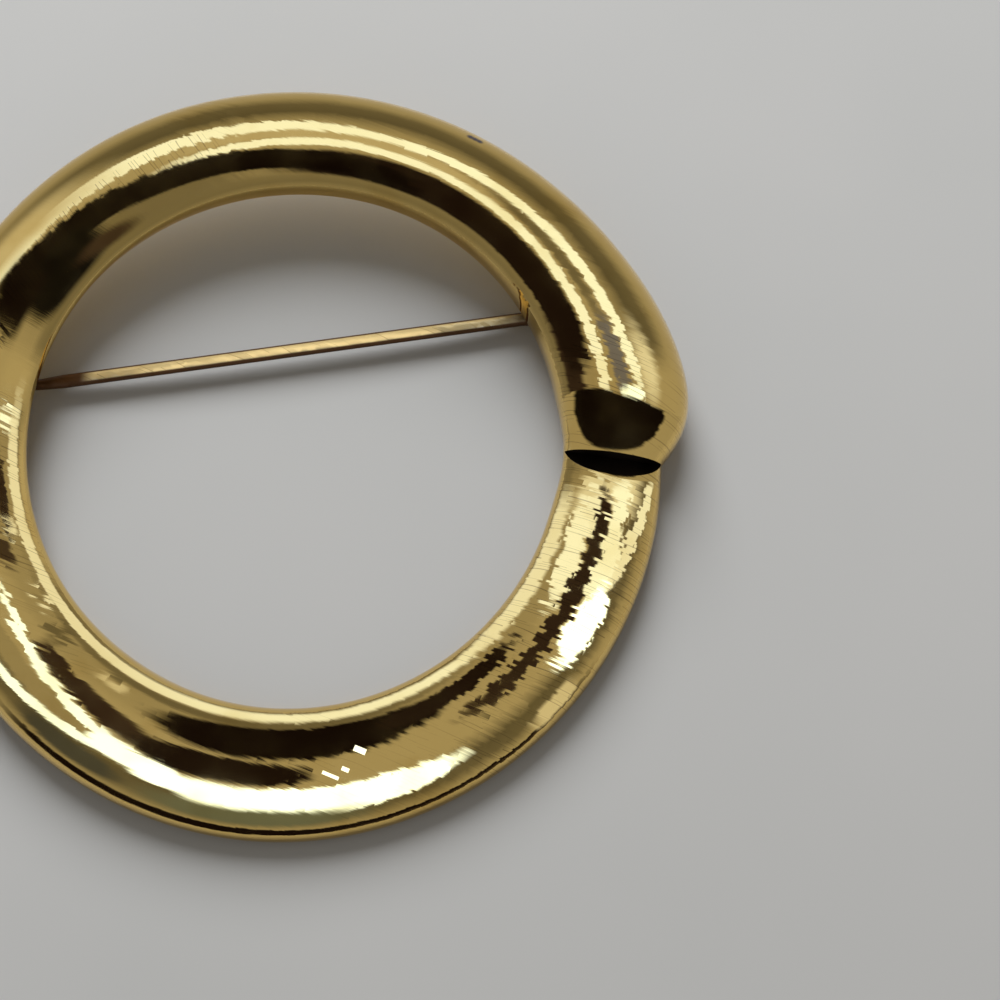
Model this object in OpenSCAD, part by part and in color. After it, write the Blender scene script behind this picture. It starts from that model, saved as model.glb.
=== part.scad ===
// Circle brooch: a domed metal ring whose rounded nose meets a lower tail,
// with a hinged pin stem across its flat back and a catch for the pin's point.
// The brooch lies face up on a table, propped by the catch and the hinge.
// Millimetres. The ring's own plane has X to the right, Y away, Z out of its face.

/* [Ring] */
// Radius of the open circle in the middle
hole_r = 16.05; // [15.5:0.05:16.5]
// Direction of the notch where the nose meets the tail, in degrees from X
notch_deg = -2.5; // [-8:0.5:4]
// Turn of the notch's line about its inner end, in degrees clockwise
notch_lean = 5.5; // [0:0.5:8]
// Height of the metal left under the notch
notch_floor = 0.7; // [0.6:0.05:0.9]
// Length of the nose's rounded front, along the ring
nose_round = 5.4; // [4:0.1:5.8]
// Height of the nose's lower edge, at the top of the notch's upright wall
nose_edge = 2.3; // [2:0.05:2.6]
// Length of the tail's slope down into the notch
tail_slope = 1.45; // [1.2:0.05:1.9]
// Upright foot of the dome, inside and outside, as a part of its height
foot_part = 0.08; // [0.05:0.01:0.12]
// Roundness of the dome: 2 is a half oval, more is boxier
fullness = 2.2; // [2:0.05:2.6]

/* [Pin] */
// Diameter of the pin stem
stem_d = 0.84; // [0.7:0.02:0.86]
// Diameter of the stem's stouter root, next to the eye
root_d = 1.04; // [1:0.02:1.1]
// Length of the root from the middle of the hinge
root_len = 2.8; // [2.4:0.1:3.4]
// Length over which the root thins down to the stem
root_ease = 1; // [0.6:0.1:1.4]
// Depth of the stem's middle below the ring's back
stem_depth = 1.2; // [1.15:0.05:1.4]
// Slant of the stem across the ring, in degrees from X
stem_slant = 8; // [6:0.1:9]
// Distance of the stem's line from the middle of the ring
stem_offset = 6.25; // [5.8:0.05:6.5]
// Place of the hinge along the stem's line
hinge_at = 18.6; // [18.2:0.1:18.8]
// Place of the catch along the stem's line
catch_at = -18.5; // [-18.8:0.1:-18]
// Length of the tapered point
point_len = 6; // [5:0.5:9]
// Length of the stem past the middle of the catch
point_past = 1.5; // [1.3:0.1:1.8]

/* [Hinge and catch] */
// Thickness of the sheet of the hinge bracket and the catch
sheet_t = 0.4; // [0.35:0.05:0.45]
// Radius of the bracket's ears and the depth that they reach past the rivet
ear_r = 0.95; // [0.9:0.05:1.05]
// Radius of the rivet
rivet_r = 0.3; // [0.25:0.01:0.32]
// Radius of the rivet's heads
rivet_head_r = 0.52; // [0.45:0.01:0.6]
// Radius of the stem's eye
eye_r = 0.72; // [0.66:0.01:0.75]
// Running gap between the eye and what it turns on and between
run_gap = 0.05; // [0.04:0.01:0.06]
// Length of the catch along the stem
catch_l = 2.2; // [1.8:0.1:2.4]
// Length of the bracket's base plate along the stem
plate_l = 3.2; // [2.8:0.1:3.4]
// Width of the slot between the cheeks of the catch
slot_w = 0.56; // [0.5:0.02:0.6]

/* [Hidden] */
gold = "#c9a14a";
pale_gold = "#d8b765";
round_fn = 48;

// Shape of the ring, counted in degrees counter-clockwise from the notch.
// TURN: degrees past the notch. OUTER: radius of the outer edge.
// CREST: height of the dome.
TURN = 0;
OUTER = 1;
CREST = 2;
ring_shape = [
    // turn, outer, crest
    [0, 22.3, 4.2],
    [3, 23.1, 4.2],
    [6, 23.75, 4.2],
    [10, 24.1, 4.2],
    [16, 24.0, 4.15],
    [24, 23.65, 4.05],
    [34, 23.15, 3.9],
    [50, 22.65, 3.65],
    [70, 22.45, 3.45],
    [95, 22.55, 3.3],
    [125, 22.95, 3.2],
    [165, 23.35, 3.1],
    [205, 23.5, 2.95],
    [240, 23.65, 2.8],
    [270, 23.75, 2.65],
    [295, 23.5, 2.55],
    [318, 23.1, 2.5],
    [338, 22.7, 2.45],
    [352, 22.45, 2.4],
    [360, 22.3, 2.35]
];

// The hole opens a little towards the notch
notch_ease = 0.25;
notch_ease_deg = 14;
// The sections turn out of the notch's lean over this many degrees
lean_fade_deg = 20;

// Smooth curve through one column of the table
function row_at(t, k = 0) = t <= ring_shape[k + 1][TURN] ? k : row_at(t, k + 1);
function slope(k, col) =
    let (last = len(ring_shape) - 1, a = max(k - 1, 0), b = min(k + 1, last))
    (ring_shape[b][col] - ring_shape[a][col]) / (ring_shape[b][TURN] - ring_shape[a][TURN]);
function along(t, col) =
    let (k = row_at(t), p = ring_shape[k], q = ring_shape[k + 1],
         d = q[TURN] - p[TURN], s = (t - p[TURN]) / d)
    p[col] * (1 + 2 * s) * (1 - s) * (1 - s) + q[col] * s * s * (3 - 2 * s)
    + d * slope(k, col) * s * (1 - s) * (1 - s) - d * slope(k + 1, col) * s * s * (1 - s);

mid_r = 19.3;
deg_per_mm = 180 / (PI * mid_r);
nose_deg = nose_round * deg_per_mm;
tail_deg = tail_slope * deg_per_mm;

// The nose is the upper part of a quarter oval, cut off at its lower edge
nose_start = (nose_edge - notch_floor) / (ring_shape[0][CREST] - notch_floor);
nose_skip = 1 - sqrt(1 - pow(nose_start, 2));
function nose_rise(t) =
    let (s = nose_skip + (1 - nose_skip) * t / nose_deg)
    t <= 0 ? 0 : s >= 1 ? 1 : sqrt(1 - pow(1 - s, 2));
function crest_at(t) =
    notch_floor + (along(t, CREST) - notch_floor) * nose_rise(t);
// The tail is cut by a slope that runs down into the notch
function cut_at(t) =
    let (left = (360 - t) / tail_deg)
    left >= 1 ? 99 : notch_floor + (along(360, CREST) - notch_floor + 0.15) * left;
function inner_at(t) =
    let (near = min(t, 360 - t) / notch_ease_deg)
    hole_r + (near >= 1 ? 0 : notch_ease * pow(cos(90 * near), 2));

// Outline of every section as [part of the width, part of the crest's height]:
// up the inner foot, over the dome and down the outer foot
dome_steps = 20;
profile = concat(
    [[0, 0]],
    [for (k = [0:dome_steps])
        let (a = 180 - 180 * k / dome_steps, c = cos(a), s = max(sin(a), 0), p = 2 / fullness)
        [(1 + sign(c) * pow(abs(c), p)) / 2, foot_part + (1 - foot_part) * pow(s, p)]],
    [[1, 0]]
);
function section(t) =
    let (ri = inner_at(t), ro = along(t, OUTER), h = crest_at(t), top = cut_at(t))
    [for (p = profile) [ri + (ro - ri) * p[0], min(h * p[1], top)]];

// Sections stand closest together on the nose and on the tail's slope
nose_steps = 12;
tail_steps = 5;
notch_wall_deg = 0.03;
turns = concat(
    [0],
    [for (k = [0:nose_steps]) notch_wall_deg + nose_deg * pow(k / nose_steps, 1.4)],
    [for (t = [20:3:350]) t],
    [for (k = [0:tail_steps - 1]) 360 - tail_deg * (1 - k / tail_steps)]
);

function lean_at(t) =
    let (near = min(t, 360 - t) / lean_fade_deg)
    near >= 1 ? 0 : notch_lean * pow(cos(90 * near), 2);
// A section stands on the inner edge, square to the ring but for the lean at the notch
function ring_point(t, p) =
    let (ri = inner_at(t), a = t + notch_deg, b = a - lean_at(t))
    [ri * cos(a) + (p[0] - ri) * cos(b), ri * sin(a) + (p[0] - ri) * sin(b), p[1]];

// How the brooch lies: the near rim and the feet of hinge and catch touch the table
along_dir = [cos(stem_slant), sin(stem_slant), 0];
across_dir = [-sin(stem_slant), cos(stem_slant), 0];
foot_depth = stem_depth + ear_r;
eye_t = root_d;
ear_gap = eye_t + 2 * run_gap;
bracket_w = ear_gap + 2 * sheet_t;
catch_w = slot_w + 2 * sheet_t;
rim_reach = max([for (t = turns) let (p = ring_point(t, [along(t, OUTER), 0])) -p * across_dir]);
tilt = atan(foot_depth / (stem_offset - bracket_w / 2 + rim_reach));
catch_depth = foot_depth + (bracket_w - catch_w) / 2 * tan(tilt);

function tilted(p) =
    let (u = p * along_dir, w = p * across_dir, z = p[2])
    u * along_dir + (w * cos(tilt) - z * sin(tilt)) * across_dir
    + [0, 0, w * sin(tilt) + z * cos(tilt)];

ring_points = [for (t = turns) for (p = section(t)) tilted(ring_point(t, p))];
lift = rim_reach * sin(tilt);
shift_x = -(max([for (p = ring_points) p[0]]) + min([for (p = ring_points) p[0]])) / 2;
shift_y = -(max([for (p = ring_points) p[1]]) + min([for (p = ring_points) p[1]])) / 2;

module lying() {
    translate([shift_x, shift_y, lift]) children();
}

// Puts a fitting, drawn along X and hanging below the back, onto the stem's line
module on_stem_line(at) {
    lying() rotate(a = tilt, v = along_dir) rotate([0, 0, stem_slant])
        translate([at, stem_offset, 0]) children();
}

module ring() {
    rows = len(turns);
    n = len(section(0));
    around = [for (i = [0:rows - 1]) for (k = [0:n - 1])
        let (a = i * n + k, b = i * n + (k + 1) % n,
             c = ((i + 1) % rows) * n + (k + 1) % n, d = ((i + 1) % rows) * n + k)
        each [[a, b, c], [a, c, d]]];
    color(gold) lying() polyhedron(points = ring_points, faces = around, convexity = 8);
}

// A cylinder across the stem, centred on the rivet's line
module across(r, width, fn = round_fn) {
    rotate([90, 0, 0]) cylinder(r = r, h = width, center = true, $fn = fn);
}

module hinge_bracket() {
    color(pale_gold) on_stem_line(hinge_at) difference() {
        union() {
            translate([-plate_l / 2, -bracket_w / 2, -sheet_t])
                cube([plate_l, bracket_w, sheet_t]);
            for (side = [-1, 1])
                translate([0, side * (ear_gap + sheet_t) / 2, 0]) {
                    translate([0, 0, -stem_depth]) across(ear_r, sheet_t);
                    translate([-ear_r, -sheet_t / 2, -stem_depth])
                        cube([2 * ear_r, sheet_t, stem_depth]);
                }
        }
        translate([0, 0, -stem_depth]) across(rivet_r + 0.01, 2 * bracket_w);
    }
}

module hinge_rivet() {
    head_t = 0.22;
    color(pale_gold) on_stem_line(hinge_at) translate([0, 0, -stem_depth]) {
        across(rivet_r, bracket_w + 0.04);
        for (side = [-1, 1])
            translate([0, side * (bracket_w / 2 + 0.02 + head_t / 2), 0])
                across(rivet_head_r, head_t);
    }
}

module catch() {
    seat_r = slot_w / 2;
    color(pale_gold) on_stem_line(catch_at) difference() {
        union() {
            translate([-catch_l / 2 - 0.3, -bracket_w / 2, -sheet_t])
                cube([catch_l + 0.6, bracket_w, sheet_t]);
            translate([-catch_l / 2, -catch_w / 2, -catch_depth])
                cube([catch_l, catch_w, catch_depth]);
        }
        translate([0, 0, -stem_depth]) rotate([0, 90, 0])
            cylinder(r = seat_r, h = 2 * catch_l, center = true, $fn = round_fn);
        translate([-catch_l, -seat_r, -stem_depth - 4])
            cube([2 * catch_l, slot_w, 4]);
        for (side = [-1, 1])
            translate([0, side * (catch_w / 2 + 0.12), -catch_depth]) rotate([side * -18, 0, 0])
                cube([2 * catch_l, 0.6, 1.6], center = true);
    }
}

module pin_stem() {
    straight = hinge_at - catch_at + point_past - point_len;
    wire_from = root_len + root_ease;
    color(gold) on_stem_line(hinge_at) translate([0, 0, -stem_depth]) difference() {
        union() {
            across(eye_r, eye_t);
            translate([-root_len, 0, 0]) rotate([0, 90, 0])
                cylinder(d = root_d, h = root_len, $fn = round_fn);
            translate([-wire_from, 0, 0]) rotate([0, 90, 0])
                cylinder(d1 = stem_d, d2 = root_d, h = root_ease, $fn = round_fn);
            translate([-straight, 0, 0]) rotate([0, 90, 0])
                cylinder(d = stem_d, h = straight - wire_from, $fn = round_fn);
            translate([-straight - point_len, 0, 0]) rotate([0, 90, 0])
                cylinder(d1 = 0.08, d2 = stem_d, h = point_len, $fn = round_fn);
        }
        across(rivet_r + run_gap, 2 * eye_t);
    }
}

ring();
hinge_bracket();
hinge_rivet();
catch();
pin_stem();
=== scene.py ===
"""A gold-tone circle brooch, lying face up on a pale table.

The ring, the pin stem and the fittings on the back are each built by a class of
their own. Lengths are in millimetres in the classes and become metres on the way
into the meshes. The ring and its fittings are shaped in the ring's own plane, with
the back at height nought, and are then laid on the table, propped up by the hinge
and the catch.
"""

import logging
import math
from collections.abc import Callable, Iterable
from dataclasses import dataclass
from enum import Enum
from functools import cached_property

import bmesh
import bpy
from mathutils import Matrix, Vector

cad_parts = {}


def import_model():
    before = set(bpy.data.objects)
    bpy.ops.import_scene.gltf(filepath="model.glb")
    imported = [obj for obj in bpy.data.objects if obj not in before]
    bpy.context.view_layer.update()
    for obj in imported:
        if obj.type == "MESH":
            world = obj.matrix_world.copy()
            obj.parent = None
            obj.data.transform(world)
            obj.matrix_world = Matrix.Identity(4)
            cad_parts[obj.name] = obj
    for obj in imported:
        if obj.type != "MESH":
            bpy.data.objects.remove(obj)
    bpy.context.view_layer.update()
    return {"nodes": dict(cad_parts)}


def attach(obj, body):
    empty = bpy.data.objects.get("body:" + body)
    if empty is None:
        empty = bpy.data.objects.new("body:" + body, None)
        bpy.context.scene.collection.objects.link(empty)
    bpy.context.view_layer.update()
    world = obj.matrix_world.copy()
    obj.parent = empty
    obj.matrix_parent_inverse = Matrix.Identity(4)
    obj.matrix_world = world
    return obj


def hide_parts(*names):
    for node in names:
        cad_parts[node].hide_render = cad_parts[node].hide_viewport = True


MM = 0.001
# Slack in millimetres when points are picked by place, and metres within which they merge.
HAIR = 0.01
WELD = 1e-6
# Degrees between faces.
SMOOTH_BELOW = 32.0
log = logging.getLogger("brooch")

Piece = bpy.types.Object
Socket = bpy.types.NodeSocket
Pair = tuple[float, float]
Triple = tuple[float, float, float]
Stops = tuple[tuple[float, Triple], ...]


class Cut(Enum):
    """How one solid is combined with another."""

    ADD = "UNION"
    TAKE = "DIFFERENCE"


class Way(Enum):
    """Direction in which a rod is laid, as its turn from upright."""

    ALONG = (0.0, math.pi / 2, 0.0)
    ACROSS = (math.pi / 2, 0.0, 0.0)


# Workbench.


def pick(piece: Piece) -> None:
    """Makes one object the only selected and the active one.

    Args:
        piece: the object to work on.
    """
    bpy.ops.object.select_all(action="DESELECT")
    piece.select_set(True)
    bpy.context.view_layer.objects.active = piece


def finish_with(piece: Piece, kind: str, **settings: object) -> None:
    """Adds a modifier to a piece and applies it.

    Args:
        piece: the piece to finish.
        kind: Blender's name of the modifier type.
        settings: the modifier's own settings.
    """
    modifier = piece.modifiers.new(kind.lower(), kind)
    for name, value in settings.items():
        setattr(modifier, name, value)
    pick(piece)
    bpy.ops.object.modifier_apply(modifier=modifier.name)


def combine(piece: Piece, tool: Piece, how: Cut) -> None:
    """Joins a second solid to a piece or takes it away, and drops the second solid."""
    finish_with(piece, "BOOLEAN", operation=how.value, object=tool, solver="EXACT")
    bpy.data.objects.remove(tool, do_unlink=True)


def block(low: Triple, high: Triple) -> Piece:
    """A plain block to cut or build with.

    Args:
        low: its lowest corner, in millimetres.
        high: its highest corner, in millimetres.

    Returns:
        The block as an object.
    """
    middle = [(a + b) / 2 * MM for a, b in zip(low, high)]
    bpy.ops.mesh.primitive_cube_add(size=1.0, location=middle)
    cube = bpy.context.object
    cube.scale = [(b - a) * MM for a, b in zip(low, high)]
    bpy.ops.object.transform_apply(location=True, rotation=True, scale=True)
    return cube


def rod(radius: float, length: float, at: Triple, way: Way, sides: int = 48) -> Piece:
    """A plain rod to cut or build with.

    Args:
        radius: its radius, in millimetres.
        length: its length, in millimetres.
        at: its middle, in millimetres.
        way: the direction in which it lies.
        sides: how many sides it has.

    Returns:
        The rod as an object.
    """
    bpy.ops.mesh.primitive_cylinder_add(
        vertices=sides, radius=radius * MM, depth=length * MM,
        location=[c * MM for c in at], rotation=way.value)
    bpy.ops.object.transform_apply(location=True, rotation=True, scale=True)
    return bpy.context.object


class EditBench:
    """Edit-mode work on one mesh: points are picked in code and moved by operators."""

    def __init__(self, piece: Piece) -> None:
        """Opens the piece in edit mode with nothing selected.

        Args:
            piece: the mesh object to shape.
        """
        self.piece = piece
        pick(piece)
        bpy.context.tool_settings.mesh_select_mode = (True, False, False)
        bpy.ops.object.mode_set(mode="EDIT")
        bpy.ops.mesh.select_all(action="DESELECT")

    def take(self, points: Iterable[int]) -> None:
        """Selects these points and no others.

        Args:
            points: the points' numbers in the mesh.
        """
        bpy.ops.mesh.select_all(action="DESELECT")
        shape = bmesh.from_edit_mesh(self.piece.data)
        shape.verts.ensure_lookup_table()
        for number in points:
            shape.verts[number].select_set(True)
        shape.select_flush_mode()

    def move(self, x: float = 0.0, y: float = 0.0, z: float = 0.0) -> None:
        """Moves what is selected, in millimetres."""
        bpy.ops.transform.translate(value=(x * MM, y * MM, z * MM))

    def scale(self, x: float = 1.0, y: float = 1.0, z: float = 1.0,
              about: Triple = (0.0, 0.0, 0.0)) -> None:
        """Scales what is selected about a point that is given in millimetres."""
        bpy.ops.transform.resize(value=(x, y, z), center_override=[c * MM for c in about])

    def turn(self, degrees: float, about: Pair = (0.0, 0.0)) -> None:
        """Turns what is selected counter-clockwise about an upright axis, in millimetres."""
        bpy.ops.transform.rotate(value=-math.radians(degrees), orient_axis="Z",
                                 center_override=(about[0] * MM, about[1] * MM, 0.0))

    def crease(self, amount: float) -> None:
        """Keeps the selected edges sharp under subdivision, fully so at 1."""
        bpy.ops.transform.edge_crease(value=amount)

    def extrude(self, along: float, wider: float) -> None:
        """Extrudes what is selected along X, in millimetres, and widens its end."""
        step = {"value": (along * MM, 0.0, 0.0)}
        bpy.ops.mesh.extrude_region_move(TRANSFORM_OT_translate=step)
        self.scale(1.0, wider, wider)

    def close(self) -> None:
        """Leaves edit mode."""
        bpy.ops.mesh.select_all(action="DESELECT")
        bpy.ops.object.mode_set(mode="OBJECT")


# How it lies.


@dataclass(frozen=True)
class Lie:
    """How the brooch lies on the table: the fittings on its back prop up its far side."""

    tilt: float = 4.24579
    slant: float = 8.0
    shift: Triple = (-0.258689, 0.613033, 1.75319)
    stem_offset: float = 6.25

    def of_ring(self) -> Matrix:
        """Place of the ring's own plane on the table.

        Returns:
            The matrix that lays it there.
        """
        along = Vector((math.cos(math.radians(self.slant)), math.sin(math.radians(self.slant)), 0.0))
        tilt = Matrix.Rotation(math.radians(self.tilt), 4, along)
        return Matrix.Translation([c * MM for c in self.shift]) @ tilt

    def of_fitting(self, along: float) -> Matrix:
        """Place of a fitting that is drawn along X and hangs below the back.

        Args:
            along: its distance along the stem's line.

        Returns:
            The matrix that lays it on the table.
        """
        turn = Matrix.Rotation(math.radians(self.slant), 4, "Z")
        step = Matrix.Translation((along * MM, self.stem_offset * MM, 0.0))
        return self.of_ring() @ turn @ step

    def lay(self, piece: Piece, place: Matrix) -> None:
        """Moves a finished piece into place and leaves its object at the origin.

        Args:
            piece: the piece.
            place: where it goes.
        """
        piece.matrix_world = place
        pick(piece)
        bpy.ops.object.transform_apply(location=True, rotation=True, scale=True)


# Finishes.


class Graph:
    """Builds the nodes of one material or world."""

    def __init__(self, tree: bpy.types.NodeTree) -> None:
        """Empties the tree."""
        self.tree = tree
        tree.nodes.clear()

    def add(self, kind: str, inputs: dict[str | int, object] | None = None,
            **settings: object) -> bpy.types.Node:
        """Adds a node.

        Args:
            kind: the node's type name, without its common prefix.
            inputs: a value or a socket for each input, by name or number.
            settings: the node's own settings.

        Returns:
            The new node.
        """
        node = self.tree.nodes.new("ShaderNode" + kind)
        for name, value in settings.items():
            setattr(node, name, value)
        for name, value in (inputs or {}).items():
            if isinstance(value, Socket):
                self.tree.links.new(value, node.inputs[name])
            else:
                node.inputs[name].default_value = value
        return node

    def calc(self, operation: str, *values: object) -> Socket:
        """One step of arithmetic on numbers or their sockets."""
        return self.add("Math", dict(enumerate(values)), operation=operation).outputs[0]

    def vector(self, operation: str, *values: object) -> Socket:
        """One step of arithmetic on vectors or their sockets."""
        return self.add("VectorMath", dict(enumerate(values)), operation=operation).outputs[0]

    def along(self, where: Socket, way: Triple) -> Socket:
        """How far a place lies in one direction."""
        return self.add("VectorMath", {0: where, 1: way}, operation="DOT_PRODUCT").outputs["Value"]

    def gap(self, where: Socket, point: Triple) -> Socket:
        """Distance from a point that is given in millimetres."""
        ends = {0: where, 1: [c * MM for c in point]}
        return self.add("VectorMath", ends, operation="DISTANCE").outputs["Value"]

    def tip(self, normal: Socket, way: Triple, amount: Socket) -> Socket:
        """Tips a normal in one direction."""
        step = self.add("VectorMath", {0: way, "Scale": amount}, operation="SCALE").outputs[0]
        return self.vector("ADD", normal, step)

    @cached_property
    def where(self) -> Socket:
        """The place on the piece, in metres."""
        return self.add("TexCoord").outputs["Object"]

    def parts(self, vector: Socket) -> tuple[Socket, ...]:
        """The three numbers of a vector."""
        return tuple(self.add("SeparateXYZ", {0: vector}).outputs)

    def noise(self, where: Socket, scale: float, detail: float) -> Socket:
        """Soft clouds, as a number from 0 to 1."""
        return self.add("TexNoise", {"Vector": where, "Scale": scale, "Detail": detail}).outputs[0]

    def laid(self, where: Socket, turn: float, unit: Triple = (1.0, 1.0, 1.0),
             middle: Triple = (0.0, 0.0, 0.0)) -> Socket:
        """Place on a grid with this turn in degrees, and this unit and middle in metres."""
        inputs = {"Vector": where, "Location": middle,
                  "Rotation": (0.0, 0.0, math.radians(turn)), "Scale": unit}
        return self.add("Mapping", inputs, vector_type="TEXTURE").outputs[0]

    def hypotenuse(self, first: Socket, second: Socket) -> Socket:
        """Length of the straight way between the ends of two square steps."""
        squares = [self.calc("MULTIPLY", step, step) for step in (first, second)]
        return self.calc("SQRT", self.calc("ADD", *squares))

    def angle(self, up: Socket, over: Socket) -> Socket:
        """Angle of the way that leads so far up and so far over, in degrees."""
        return self.calc("DEGREES", self.calc("ARCTAN2", up, over))

    def oval(self, across: Socket, up: Socket, squareness: float = 2.0) -> Socket:
        """Distance from the middle of an oval, or of a rounded box, that is 1 at its rim."""
        powers = [self.calc("POWER", self.calc("ABSOLUTE", v), squareness) for v in (across, up)]
        return self.calc("POWER", self.calc("ADD", *powers), 1 / squareness)

    def spread(self, value: Socket, low: float, high: float, to_low: float = 0.0,
               to_high: float = 1.0) -> Socket:
        """Maps the range from low to high smoothly onto the one from to_low to to_high."""
        inputs = {"Value": value, "From Min": low, "From Max": high, "To Min": to_low,
                  "To Max": to_high}
        return self.add("MapRange", inputs, interpolation_type="SMOOTHSTEP").outputs["Result"]

    def blend(self, factor: object, first: object, second: object) -> Socket:
        """Mixes two colours, each as a triple or a socket, by the share of the second."""
        colours = [c if isinstance(c, Socket) else (*c, 1.0) for c in (first, second)]
        return self.add("Mix", {0: factor, 6: colours[0], 7: colours[1]},
                        data_type="RGBA").outputs[2]

    def ramp(self, value: Socket, stops: Stops) -> Socket:
        """A colour ramp.

        Args:
            value: the socket that runs along the ramp.
            stops: place and colour of each stop.

        Returns:
            The colour.
        """
        node = self.add("ValToRGB", {0: value})
        points = node.color_ramp.elements
        while len(points) < len(stops):
            points.new(1.0)
        for point, (place, colour) in zip(points, stops):
            point.position = place
            point.color = (*colour, 1.0)
        return node.outputs["Color"]


def new_material(name: str, surface: Callable[[Graph], Socket]) -> bpy.types.Material:
    """Builds a material from nodes.

    Args:
        name: its name.
        surface: adds the nodes and returns the shader.

    Returns:
        The material.
    """
    material = bpy.data.materials.new(name)
    material.use_nodes = True
    g = Graph(material.node_tree)
    g.add("OutputMaterial", {"Surface": surface(g)})
    return material


@dataclass(frozen=True)
class WornPatch:
    """A round area in which the polishing strokes stand out more, or less.

    The core is the part of the radius in which they do so in full.
    """

    at: Triple
    radius: float
    amount: float
    core: float = 0.45

    def wear(self, g: Graph) -> Socket:
        """How much the patch adds to the strokes' strength."""
        return g.spread(g.gap(g.where, self.at), self.radius * MM, self.radius * self.core * MM,
                        0.0, self.amount)


@dataclass(frozen=True)
class Strokes:
    """Parallel polishing strokes, each a short straight strip with a tilt of its own.

    The tilt is the most that a strip is tipped, across the strokes and along them. A fine
    groove runs along some of the strips' borders. Strokes are laid in rows that sway, and
    each row is staggered by chance, by up to so many strokes' lengths.
    """

    turn: float = -22.0
    length: float = 1.5
    width: float = 0.19
    tilt: Pair = (0.05, 0.09)
    strength: Pair = (0.45, 0.95)
    between: Pair = (0.0, 40.0)
    middle: Triple = (*Lie.shift[:2], 0.0)
    patches: tuple[WornPatch, ...] = ()
    cloud_scale: float = 130.0
    cloud_edges: Pair = (0.42, 0.62)
    rim_fade: Pair = (-0.2, 0.3)
    sway_scale: float = 0.35
    sway_rows: float = 2.4
    stagger: float = 7.3
    groove_part: Pair = (0.24, 0.10)
    groove_chance: Pair = (0.45, 0.75)
    groove_wear: Pair = (0.75, 1.3)

    def plainness(self, g: Graph) -> Socket:
        """How far the strokes stand out at each place.

        Args:
            g: the material's nodes.

        Returns:
            The strength, about 1 where the strokes are plain.
        """
        clouds = g.noise(g.where, self.cloud_scale, detail=1.0)
        strength = g.spread(clouds, *self.cloud_edges, *self.strength)
        for patch in self.patches:
            strength = g.calc("ADD", strength, patch.wear(g))
        reach = g.gap(g.vector("MULTIPLY", g.where, (1.0, 1.0, 0.0)), self.middle)
        inner, outer = ([(rim + step) * MM for step in self.rim_fade] for rim in self.between)
        for fade in (inner, reversed(outer)):
            strength = g.calc("MULTIPLY", strength, g.spread(reach, *fade))
        return g.calc("MAXIMUM", strength, 0.0)

    def strips(self, g: Graph) -> tuple[Socket, ...]:
        """Short straight strips side by side, each with chances of its own.

        Args:
            g: the material's nodes.

        Returns:
            Three chances from 0 to 1, and the part of the strip's width.
        """
        laid = g.laid(g.where, self.turn, (self.length * MM, self.width * MM, 1.0))
        along, across, _ = g.parts(laid)
        sway = g.noise(laid, self.sway_scale, detail=0.0)
        across = g.calc("MULTIPLY_ADD", sway, self.sway_rows, across)
        row = g.calc("FLOOR", across)
        chance = g.add("TexWhiteNoise", {"W": row}, noise_dimensions="1D").outputs["Value"]
        cell = g.calc("FLOOR", g.calc("MULTIPLY_ADD", chance, self.stagger, along))
        pair = g.add("CombineXYZ", {0: cell, 1: row}).outputs[0]
        lot = g.add("TexWhiteNoise", {"Vector": pair}, noise_dimensions="3D").outputs["Color"]
        return (*g.add("SeparateColor", {0: lot}).outputs, g.calc("FRACT", across))

    def cut(self, g: Graph, normal: Socket) -> tuple[Socket, Socket]:
        """Tips a normal by the strokes.

        Args:
            g: the material's nodes.
            normal: the normal to tip.

        Returns:
            The tipped normal, and how deep in a groove each place is.
        """
        plain = self.plainness(g)
        first, second, third, part = self.strips(g)
        groove = g.spread(part, *self.groove_part)
        for share, edges in ((third, self.groove_chance), (plain, self.groove_wear)):
            groove = g.calc("MULTIPLY", groove, g.spread(share, *edges))
        c, s = math.cos(math.radians(self.turn)), math.sin(math.radians(self.turn))
        for way, chance, most in (((-s, c, 0.0), first, self.tilt[0]),
                                  ((c, s, 0.0), second, self.tilt[1])):
            amount = g.calc("MULTIPLY", g.calc("SUBTRACT", chance, 0.5), most)
            normal = g.tip(normal, way, g.calc("MULTIPLY", amount, plain))
        return normal, groove


@dataclass(frozen=True)
class Glint:
    """A small straight-edged nick that mirrors another part of the room."""

    at: Pair
    tip: Pair
    size: Pair = (0.36, 0.17)
    turn: float = -22.0

    def nick(self, g: Graph, normal: Socket) -> Socket:
        """Tips a normal within the nick.

        Args:
            g: the material's nodes.
            normal: the normal to tip.

        Returns:
            The tipped normal.
        """
        half, middle = ([c * MM for c in pair] for pair in (self.size, self.at))
        x, y, _ = g.parts(g.laid(g.where, self.turn, (*half, 1.0), (*middle, 0.0)))
        far = g.calc("MAXIMUM", g.calc("ABSOLUTE", x), g.calc("ABSOLUTE", y))
        return g.tip(normal, (*self.tip, 0.0), g.calc("LESS_THAN", far, 1.0))


@dataclass(frozen=True)
class PaintedShade:
    """Painted shade: colour darkened wherever a piece lies low in one direction, standing in for
    shade.
    """

    towards: Triple
    dark_below: float
    clear_above: float
    colour: Triple = (0.10, 0.045, 0.015)

    def darken(self, g: Graph, tint: Socket) -> Socket:
        """Lays the painted shade over a colour."""
        low = g.spread(g.along(g.where, self.towards), self.clear_above * MM, self.dark_below * MM)
        return g.blend(low, tint, self.colour)


@dataclass(frozen=True)
class Chip:
    """A small spot where the plate has gone; its soft edge is given in radii."""

    at: Triple
    radius: float
    colour: Triple = (0.10, 0.09, 0.12)
    edge: Pair = (1.3, 0.3)

    def darken(self, g: Graph, tint: Socket) -> Socket:
        """Lays the chip over a colour."""
        outer, inner = (self.radius * part * MM for part in self.edge)
        return g.blend(g.spread(g.gap(g.where, self.at), outer, inner), tint, self.colour)


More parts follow.
